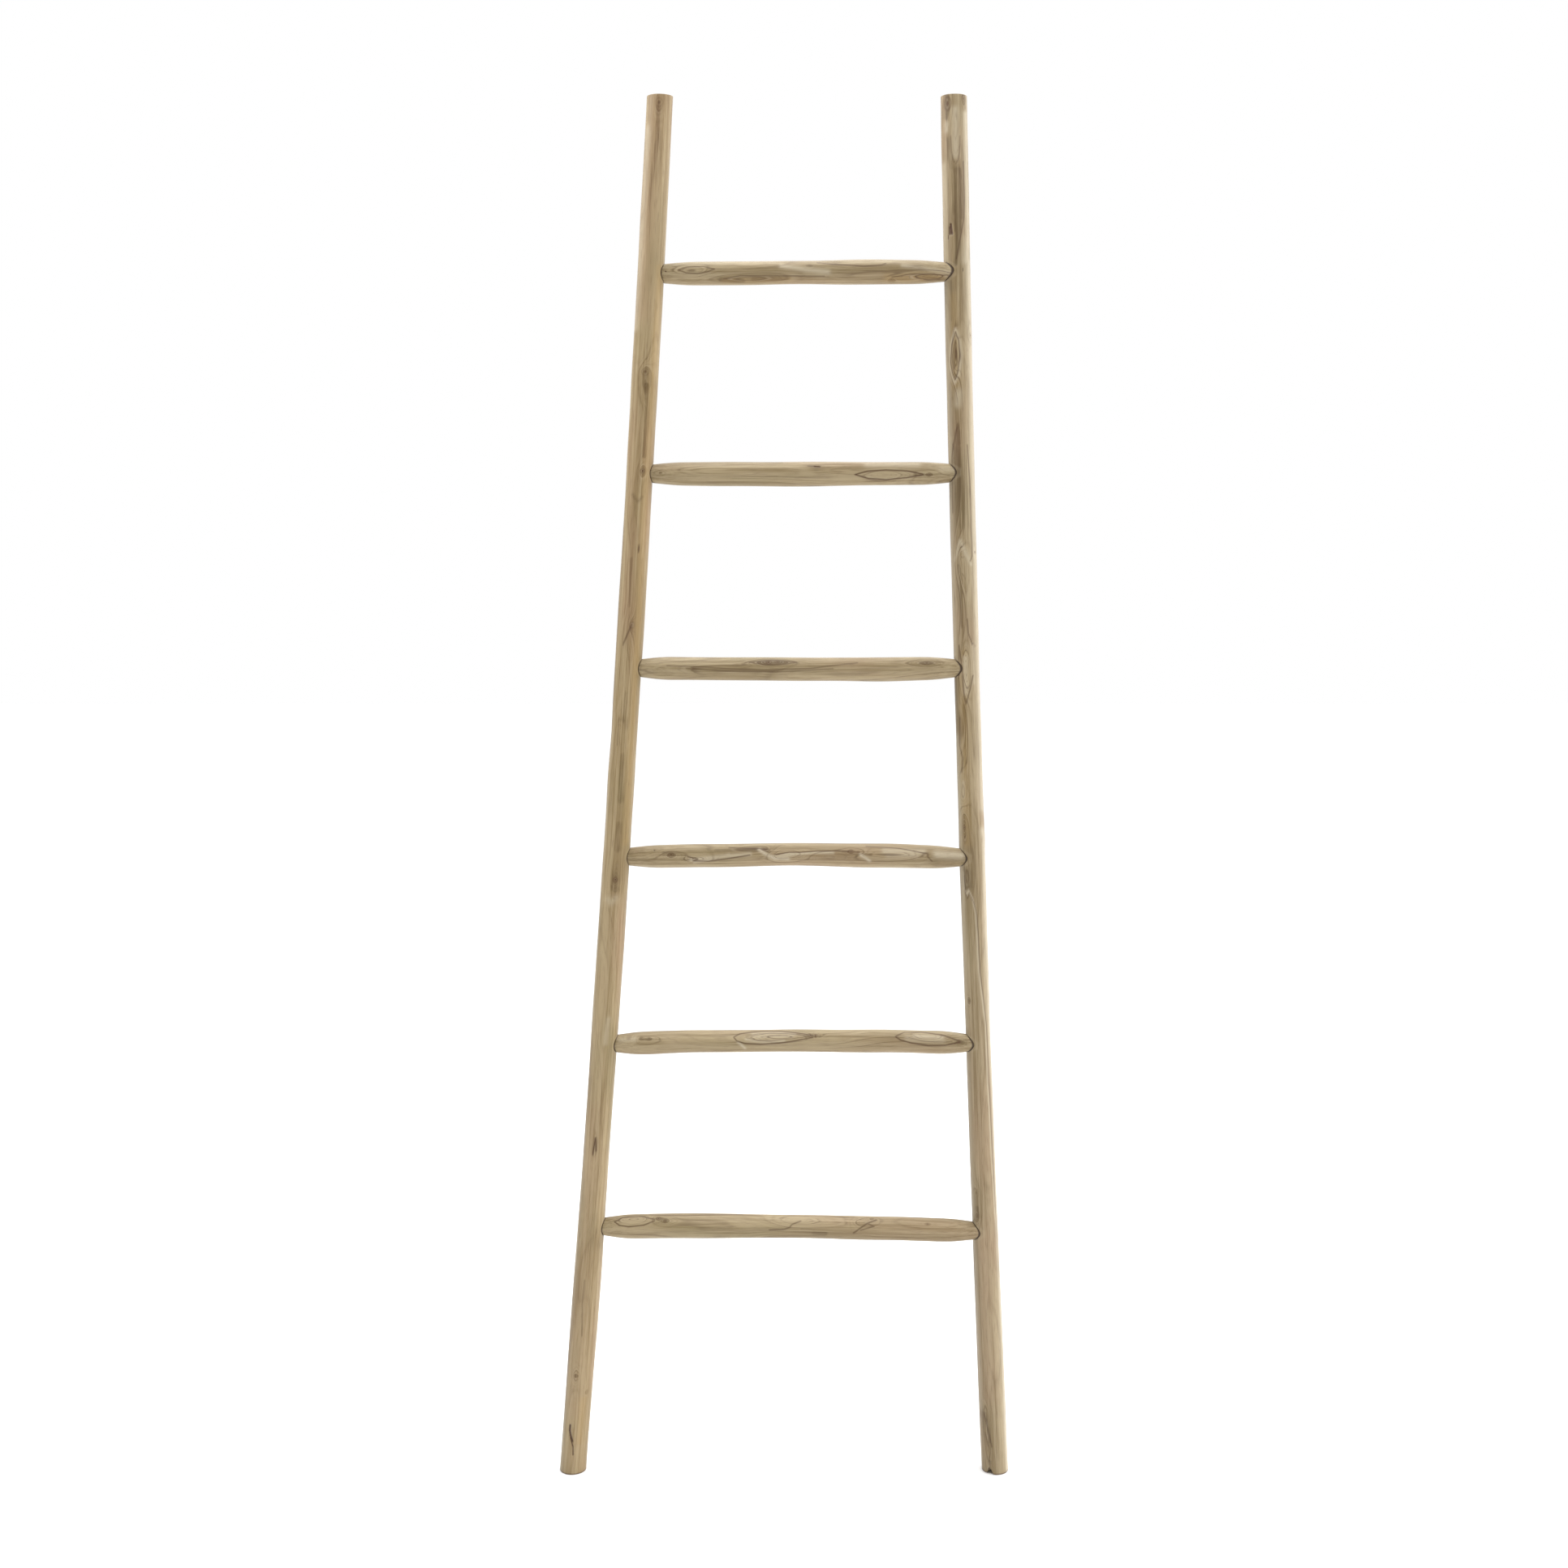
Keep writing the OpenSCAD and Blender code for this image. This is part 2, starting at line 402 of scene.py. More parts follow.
def teak(name, sapwood, plain, heartwood, line, olive, pink):
    """Peeled and sanded teak. The figure is a count of growth rings, low in the brown heartwood and high
    in the pale sapwood; its fraction gives each ring's soft tone and the fine line at its edge. Fibres,
    streaks and pores are noise drawn out along the grain. Olive and pink are how much of each cast it
    has in places."""
    f = Finish(bpy.data.materials.new(name))
    streaks = f.noise(f.straight(230, 230, 4.2), 4, 0.62)
    broad = f.noise(f.straight(55, 55, 2.4), 3, 0.5)
    drift = f.noise(f.straight(40, 40, 7), 2, 0.5)
    fibres = f.noise(f.straight(900, 900, 16), 3, 0.6)
    pores = f.noise(f.straight(1500, 1500, 50), 1, 0.5)
    blush = f.noise(f.straight(24, 24, 5), 2, 0.5)

    count = f.value("figure") + (drift - 0.5) * 0.7 + (streaks - 0.5) * 0.35 + (fibres - 0.5) * 0.10
    band = count.math("FRACT", count)
    edge = f.ramp(band, 0.74, 0.93) * f.ramp(band, 0.93, 0.99, 1, 0)
    gleam = f.ramp(band, 0.02, 0.10) * f.ramp(band, 0.12, 0.34, 1, 0)
    ring_tone = f.node("ShaderNodeTexNoise", {"noise_dimensions": "1D"},
                       {"W": count, "Scale": 2.3, "Detail": 2.0})
    veins = f.value("veins") * f.ramp(f.noise(f.straight(70, 70, 9), 2), 0.36, 0.60, 0.35, 1.0)
    third = count * 3.0 + (drift - 0.5) * 1.5
    third = third.math("FRACT", third)
    hairline = f.ramp(third, 0.62, 0.90) * f.ramp(third, 0.90, 0.99, 1, 0)

    tone = (streaks - 0.5) * 3.0 + (broad - 0.5) * 2.2 + (ring_tone - 0.5) * 0.9 + (fibres - 0.5) * 2.0
    wood = f.mix(f.ramp(count * -0.28 + tone + 0.85, -0.45, 0.80), sapwood, plain)
    # Heartwood, with painted shade where a streak runs down the left rail's lower left flank.
    heart_and_shade = f.value("heart_and_shade") * (1.0 + (streaks - 0.5) * 1.2) + (tone - 0.45) * 0.45
    heart_and_shade = heart_and_shade + f.ramp(count, 1.4, 0.3) * 0.4
    wood = f.mix(f.ramp(heart_and_shade, 0.0, 1.0), wood, heartwood)
    wood = f.mix(f.ramp(blush, 0.52, 0.78, 0, pink), wood, paint(156, 122, 96))
    wood = f.mix(f.ramp(blush, 0.48, 0.26, 0, olive), wood, paint(124, 113, 74))
    wood = f.mix(f.value("blush") * 0.24, wood, paint(164, 128, 104))
    # Straw colour; down the left rail's right side it is a painted lit side.
    wood = f.mix(f.value("straw") * 0.42, wood, paint(164, 134, 80))
    # Pale sapwood; the long pales down the rails' flanks are painted highlight.
    wood = f.mix(f.value("pale") * (0.85 + (streaks - 0.5) * 0.9), wood, paint(190, 177, 152))
    wood = f.mix(gleam * veins * 0.55, wood, paint(180, 163, 134))
    wood = f.mix(hairline * veins * 0.45, wood, line)
    wood = f.mix(edge * veins, wood, line)
    wood = f.mix(f.value("line") * (1.25 + (fibres - 0.5) * 1.2), wood, line)
    wood = f.mix(f.ramp(pores, 0.58, 0.74, 0, 0.34), wood, line)
    knot = f.value("knot")
    knotty = f.ramp(knot + (fibres - 0.5) * 0.5, 0.10, 0.95, 0, 0.9)
    wood = f.mix(knotty, wood, paint(84, 56, 32))
    # Painted shade in cracks and chips, and a painted shadow line round the rims of the sawn ends.
    crack_and_end_shade = f.ramp(f.value("dark") + (fibres - 0.5) * 0.3, 0.15, 0.8, 0, 0.94)
    wood = f.mix(crack_and_end_shade, wood, paint(72, 44, 24))
    # Painted highlight in a ring round each socket's eased mouth.
    wood = f.mix(f.value("mouth_highlight") * 0.16, wood, paint(186, 170, 140))
    # Dark glue line where each rung enters its rail, with painted shade in the joint gap and on the socket
    # walls.
    wood = f.mix(f.value("glue") * 0.92, wood, paint(58, 39, 24))

    radius = f.node("ShaderNodeVectorMath", {"operation": "LENGTH"}, {0: f.straight(1, 1, 0)}, "Value")
    rings = radius * 380 + (f.noise(f.straight(90, 90, 90), 3) - 0.5) * 1.2
    rings = rings.math("FRACT", rings)
    sawn = f.mix(f.ramp(rings, 0.35, 0.95), paint(146, 124, 94), paint(104, 83, 58))
    sawn = f.mix(f.ramp(f.noise(f.straight(700, 700, 700), 2), 0.5, 0.75, 0, 0.5), sawn, paint(84, 66, 46))
    wood = f.mix(f.value("sawn"), wood, sawn)

    roughness = 0.55 + (fibres - 0.5) * 0.16 + (streaks - 0.5) * 0.12 + knot * 0.08
    relief = fibres * 0.22 + pores * 0.14 + streaks * 0.5 + edge * veins * -0.2
    relief = relief + f.noise(f.straight(300, 300, 40), 3) * 0.35
    dry = {"Specular IOR Level": 0.40, "Sheen Weight": 0.25, "Sheen Roughness": 0.4}
    return f.surface(dry, wood, roughness, relief, 0.0007)


# The marks that a pole can have. s is the height in metres, or for a rung the distance from its left
# end, and a the angle in degrees from the front towards the right, or for a rung upwards. Waves: rings,
# times round, a. Knots: s, a, radius, how tall for its width, how dark, how proud. Hills and hollows of
# the growth rings: s, a, reach up, reach down, width, rings, how clear their lines are. Streaks of
# heartwood, pale sapwood, fine lines, rosy and straw-coloured parts: width, strength and a path of s, a.
# A few long ones down the rails' flanks are painted light and shade: pale painted highlight down the lit
# flanks, painted shade in a dark streak down the left rail's lower left flank, and a straw-coloured
# painted lit side down the left rail's right side. Cracks: width, depth and a path. Bumps and chips: s,
# a, reach, width, height or depth. Cracks and chips are darkened with painted shade. Foot: the chips in
# its rim, by a, width in degrees and height. Sap: how many rings lie outside the heartwood. Rough and
# veins: how uneven they are, and how clear their lines. Seed: picks one unevenness of many.
BARE = {
    "rough": 0.5, "knots": [], "hills": [], "streaks": [], "pales": [], "lines": [], "cracks": [],
    "bumps": [], "chips": [], "foot": [], "blushes": [], "straws": [],
}
LEFT_RAIL = BARE | {
    "seed": 11, "sap": 2, "waves": [(0.55, 1, -80), (0.35, 2, -20)], "veins": 0.14,
    "knots": [(1.985, 3, 0.0042, 1.4, 0.62, 0), (1.617, 5, 0.0048, 1, 0.62, 0.0006),
        (1.601, 6, 0.0026, 0.9, 0.5, 0), (1.479, 17, 0.003, 1, 0.9, 0.0005),
        (1.262, 8, 0.0032, 1.1, 0.6, 0.0006), (0.895, 7, 0.003, 1, 1, 0.0006),
        (0.153, -14, 0.002, 1, 0.95, 0.0004), (0.153, -3, 0.0016, 1, 0.6, 0.0004),
        (0.126, 35, 0.002, 1, 0.45, 0)],
    "hills": [(1.6, 5, 0.02, 0.03, 0.008, -1, 0.3), (1.45, 0, 0.02, 0.05, 0.01, -0.8, 0.1),
        (1.25, -4, 0.03, 0.05, 0.01, -0.9, 0.3), (0.895, 5, 0.03, 0.03, 0.011, -0.8, 0.3),
        (0.66, 5, 0.03, 0.06, 0.008, 0.6, 0.2), (0.5, -3, 0.03, 0.03, 0.007, -1.2, 0.3),
        (0.15, -12, 0.03, 0.03, 0.009, -0.6, 0.2), (1.1, -22, 0.03, 0.04, 0.007, -0.7, 0.15)],
    "streaks": [(0.0035, 0.6, [(1.985, 2), (1.937, 7), (1.898, -8), (1.853, -14), (1.797, -1), (1.741, 4)]),
        (0.003, 0.35, [(1.8, 40), (1.7, 28)]), (0.0042, 0.95, [(1.598, 14), (1.59, 17), (1.543, 24),
        (1.5, 21)]), (0.0028, 0.35, [(1.6, -12), (1.595, -18), (1.543, -17)]), (0.0038, 0.45, [(1.355, -12),
        (1.29, -7)]), (0.0042, 0.5, [(1.165, -2), (1.125, -2)]), (0.005, 0.55, [(1.075, 8), (1.01, 8)]),
        (0.006, 0.45, [(0.975, 6), (0.94, 6)]), (0.0055, 0.4, [(0.884, -16), (0.881, 15)]),
        (0.004, 0.15, [(0.8, -4), (0.72, -4)]), (0.004, 0.3, [(0.685, -18), (0.655, -18)]),
        (0.0055, 0.45, [(0.512, -3), (0.49, -2)]), (0.005, 0.4, [(0.14, -25), (0.12, -20)]),
        # The last streak, down the left flank from 1.42 m to the foot, is painted shade on the rail's
        # shaded side.
        (0.0065, 0.5, [(0.115, 29), (0.05, 29)]), (0.0075, 0.36, [(1.42, -74), (0.7, -76), (0.02, -72)])],
    # The first pale, high on the left flank, is a painted highlight.
    "pales": [(0.006, 0.45, [(1.95, -52), (1.68, -56)]), (0.005, 0.45, [(0.866, -22), (0.862, -4),
        (0.868, 14)]), (0.004, 0.4, [(0.69, 17), (0.655, 10)])],
    "lines": [(0.0022, 0.3, [(1.446, -21), (1.436, 4), (1.442, 22)]), (0.001, 0.95, [(1.374, 20),
        (1.366, 20)]), (0.0014, 0.6, [(1.26, 6), (1.252, -3), (1.235, -23)]), (0.0009, 0.35, [(1.13, -23),
        (1.09, -22)]), (0.0012, 0.85, [(0.513, -3), (0.489, -10)]), (0.0012, 0.85, [(0.511, -2),
        (0.493, 3)]), (0.0009, 0.4, [(0.3, -6), (0.262, -8), (0.235, -3), (0.214, 0)])],
    "cracks": [(0.0018, 0.0016, [(0.076, -24), (0.068, -24), (0.06, -17), (0.052, -8)]),
        (0.0008, 0.0012, [(0.066, -24), (0.057, -18), (0.044, -3), (0.031, 0)])],
    "bumps": [(1.045, -72, 0.035, 0.015, 0.0009), (1.11, -72, 0.03, 0.015, -0.0006)],
    "blushes": [(0.016, 0.9, [(1.99, -15), (1.7, -28)]), (0.015, 0.6, [(0.55, -20), (0.1, -10)])],
    # The first straw streak, down the rail's right side, is a painted lit side.
    "straws": [(0.007, 0.8, [(1.76, 48), (1.5, 38), (1.2, 40), (0.95, 45)]), (0.005, 0.8, [(0.115, 25),
        (0.05, 25)])],
}


def drawn(s, a, girth, paths, power=2):
    """The strongest of some painted paths at each point. A higher power makes them more even, with
    keener edges."""
    total = np.zeros(np.shape(s))
    for width, strength, path in paths:
        total = np.maximum(total, strength * crevice(s, a, girth, path, width, power))
    return total


def knot_ring(s, a, girth, knot):
    """Distance from a knot's middle, in knot radii."""
    s0, a0, radius, tall = knot[:4]
    return np.hypot((s - s0) / tall, girth * turn(a, math.radians(a0))) / radius


def figure_of(marks, s, a, girth):
    """Growth rings counted into the pole from its skin: slow waves round it, which wander along it, plus
    unevenness, plus each hill or hollow, and a narrow peak at each knot, round which the grain flows."""
    wander = ripple(s, 0 * a, marks["seed"], 0.7, 3.0, 0, 12)
    total = marks["sap"] + marks["rough"] * ripple(s, a, marks["seed"] + 1, 0.25, 1.6, 3)
    for height, times, at in marks["waves"]:
        total = total + height * np.cos(times * turn(a, math.radians(at)) + 0.5 * wander)
    for s0, a0, up, down, width, rings, clear in marks["hills"]:
        total = total + rings * mound(s, a, girth, s0, a0, up, width, down)
    for s0, a0, radius, tall, dark, proud in marks["knots"]:
        total = total - dark * (1.6 * mound(s, a, girth, s0, a0, 2.2 * radius * tall, 1.4 * radius)
                                + 0.8 * mound(s, a, girth, s0, a0, 8 * radius, 2.4 * radius))
    return total


def relief_of(marks, s, a, girth):
    """How far the skin stands off the round: slow unevenness, shaved flats, a low swell with a dimple
    at each knot, bumps, and grooves and chips."""
    total = (0.00012 * ripple(s, a, marks["seed"] + 2, 0.10, 0.5, 3)
             + 0.00010 * ripple(s, a, marks["seed"] + 3, 0.25, 1.2, 6, 40))
    for s0, a0, radius, tall, dark, proud in marks["knots"]:
        total = total + proud * (mound(s, a, girth, s0, a0, 3.2 * radius * tall, 2.2 * radius)
                                 - 0.9 * mound(s, a, girth, s0, a0, 0.6 * radius * tall, 0.55 * radius))
    for s0, a0, reach, width, height in marks["bumps"]:
        total = total + height * mound(s, a, girth, s0, a0, reach, width)
    for width, depth, path in marks["cracks"]:
        total = total - depth * crevice(s, a, girth, path, width)
    for s0, a0, reach, width, depth in marks["chips"]:
        total = total - depth * mound(s, a, girth, s0, a0, reach, width)
    return total


def finish_wood(mesh, pole, marks, sawn_ends):
    """Stores for each point its place on the pole laid straight, and how much of each mark it has."""
    points = rows_of(mesh.vertices, "co")
    s, a, r = pole.places(points)
    girth = pole.eased(3, s)
    add_values(mesh, "laid", np.stack([r * np.cos(a) + marks["seed"], r * np.sin(a), s], 1))
    add_values(mesh, "figure", figure_of(marks, s, a, girth))
    veins = np.full(len(s), marks["veins"])
    for s0, a0, up, down, width, rings, clear in marks["hills"]:
        near = mound(s, a, girth, s0, a0, 1.7 * up, 1.7 * width, 1.7 * down)
        veins = np.maximum(veins, clear * near)
    # Heartwood streaks; the one down the left rail's lower left flank is painted shade.
    heart_and_shade = drawn(s, a, girth, marks["streaks"], 4)
    knot = np.zeros(len(s))
    for mark in marks["knots"]:
        ring, strong = knot_ring(s, a, girth, mark), mark[4]
        eye_and_rim = np.exp(-(ring / 0.5) ** 4) + 0.7 * np.exp(-((ring - 1.05) / 0.28) ** 2)
        knot = np.maximum(knot, strong * eye_and_rim)
        heart_and_shade = np.maximum(heart_and_shade, 0.6 * strong * mound(s, a, girth, *mark[:2], 4 * mark[2], 1.8 * mark[2]))
        veins = np.maximum(veins, 0.7 * strong * mound(s, a, girth, *mark[:2], 9 * mark[2], 3 * mark[2]))
    dark = np.zeros(len(s))
    # Painted shade in the cracks and chips.
    for width, depth, path in marks["cracks"]:
        dark = np.maximum(dark, min(1, depth / 0.0008) * crevice(s, a, girth, path, width))
    for s0, a0, reach, width, depth in marks["chips"]:
        dark = np.maximum(dark, 0.9 * mound(s, a, girth, s0, a0, 0.7 * reach, 0.7 * width))
    from_end = np.minimum(s, pole.length - s)
    # Painted shadow line round the rim of each sawn end.
    if sawn_ends:
        dark = np.maximum(dark, 0.8 * np.exp(-(from_end / 0.0016) ** 2) * (r > 0.94 * girth))
    add_values(mesh, "heart_and_shade", heart_and_shade)
    add_values(mesh, "veins", veins)
    # Rosy, straw and pale streaks and fine lines; some straw and pale streaks down the rails' flanks are
    # painted light.
    for name, paths in (("blush", "blushes"), ("straw", "straws"), ("pale", "pales"), ("line", "lines")):
        add_values(mesh, name, drawn(s, a, girth, marks[paths]))
    add_values(mesh, "knot", knot)
    add_values(mesh, "dark", dark)
    add_values(mesh, "sawn", np.where((from_end < 0.0003) & sawn_ends, 1.0, 0.0))
    return points


def from_bore(places, bore):
    """How far places lie along a boring's axis from its start, and how far off that axis."""
    start, end, radius = bore
    axis = unit(end - start)
    along = (places - start) @ axis
    return along, np.linalg.norm(places - start - along[..., None] * axis, axis=-1)


rails = {}


def rail(side, marks, material):
    """Skin of a rail: the radius of the round plus its relief, less a little round each socket's mouth
    where it is eased, in the direction of each angle, at each height. The top's rows slant down towards
    the front. Then the sockets and the nails' holes are bored."""
    node = f"rail_{side}"
    low, high = (np.array(corner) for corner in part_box(node))
    start = np.array([0.0, 0.0, low[2]])
    pole = rails[side] = Pole(node, start, start + UPWARDS * (high[2] - low[2]), RIGHTWARDS, 0.0)
    sockets = []
    for i in range(1, 7):
        left, right = tenon_ends(i)
        along = unit(right - left)
        tenon_end, inwards = (left, along) if side == "left" else (right, -along)
        bore_start = tenon_end - inwards * SOCKET_RELIEF
        sockets.append((bore_start, tenon_end + inwards * AUGER_LENGTH, SOCKET_R))
    fine_places = [socket[0][2] - low[2] for socket in sockets] + [knot[0] for knot in marks["knots"]]
    fine_places += [path[k][0] for width, depth, path in marks["cracks"] for k in (0, -1)]
    rows = stations(pole.length, RAIL_ROWS, RAIL_FINE_ROWS, fine_places, RAIL_FINE_REACH)
    s, drawn_in, share = capped(rows, RAIL_EDGE, pole.length, [0.2, 0.45, 0.7, 0.88])
    s, a = np.meshgrid(s, around(RAIL_SIDES), indexing="ij")
    share = share[:, None]
    girth = pole.eased(3, s)
    r = (girth + relief_of(marks, s, a, girth) - drawn_in[:, None]) * share
    s = s - TOP_SLANT * share * (1 + np.cos(a)) / 2 * np.exp((s - pole.length) / TOP_SLANT_REACH)
    for a0, width, height in marks["foot"]:
        notch = np.exp(-(turn(a, math.radians(a0)) / math.radians(width)) ** 2 - s / FOOT_CHIP_REACH)
        s = s + height * notch * share
    skin = pole.points(s, a, r)
    for socket in sockets:
        along, off_axis = from_bore(skin, socket)
        lip = np.exp(-((off_axis - SOCKET_R) / MOUTH_EASE_WIDTH) ** 2) * (along > MOUTH_FROM)
        r = r - MOUTH_EASE * lip
    skin = pole.points(s, a, r)
    blank = closed_skin(node, skin, skin[0].mean(0), skin[-1].mean(0), 1)
    x_side = 1 if side == "right" else -1
    mesh = bored(blank, sockets + [hole for socket in sockets for hole in nail_holes(x_side, socket[0][2])])
    points = finish_wood(mesh, pole, marks, True)
    middles = rows_of(mesh.polygons, "center")
    mouth_highlight, glue = np.zeros(len(points)), np.zeros(len(middles))
    for socket in sockets:
        # Painted highlight in a ring just outside each socket's mouth.
        along, off_axis = from_bore(points, socket)
        ring = np.exp(-((off_axis - SOCKET_R - MOUTH_HIGHLIGHT_OUT) / MOUTH_HIGHLIGHT_WIDTH) ** 2)
        mouth_highlight = np.maximum(mouth_highlight, ring * (along > MOUTH_FROM) * (along < MOUTH_TO))
        # Socket walls: painted shade inside each socket, with its glue.
        along, off_axis = from_bore(middles, socket)
        on_wall = (off_axis - SOCKET_R < 0.00002) & (along > -SOCKET_RELIEF) & (along < MOUTH_TO)
        glue = np.maximum(glue, on_wall)
    add_values(mesh, "mouth_highlight", mouth_highlight)
    add_values(mesh, "glue", glue, "FACE")
    return place_piece(f"teak_rail_{side}", mesh, node, material)


left_teak = teak("left_rail_teak", paint(166, 147, 112), paint(138, 117, 80), paint(98, 77, 44),
                 paint(82, 57, 32), 0.40, 0.38)
rail("left", LEFT_RAIL, left_teak)


# ----------------------------------------------------------------------
# Right rail. The left one's partner: a teak pole with its own bends, worked in the same way and bored
# from its own inner side. More of its heartwood shows, and a chip is broken out of its foot's rim.

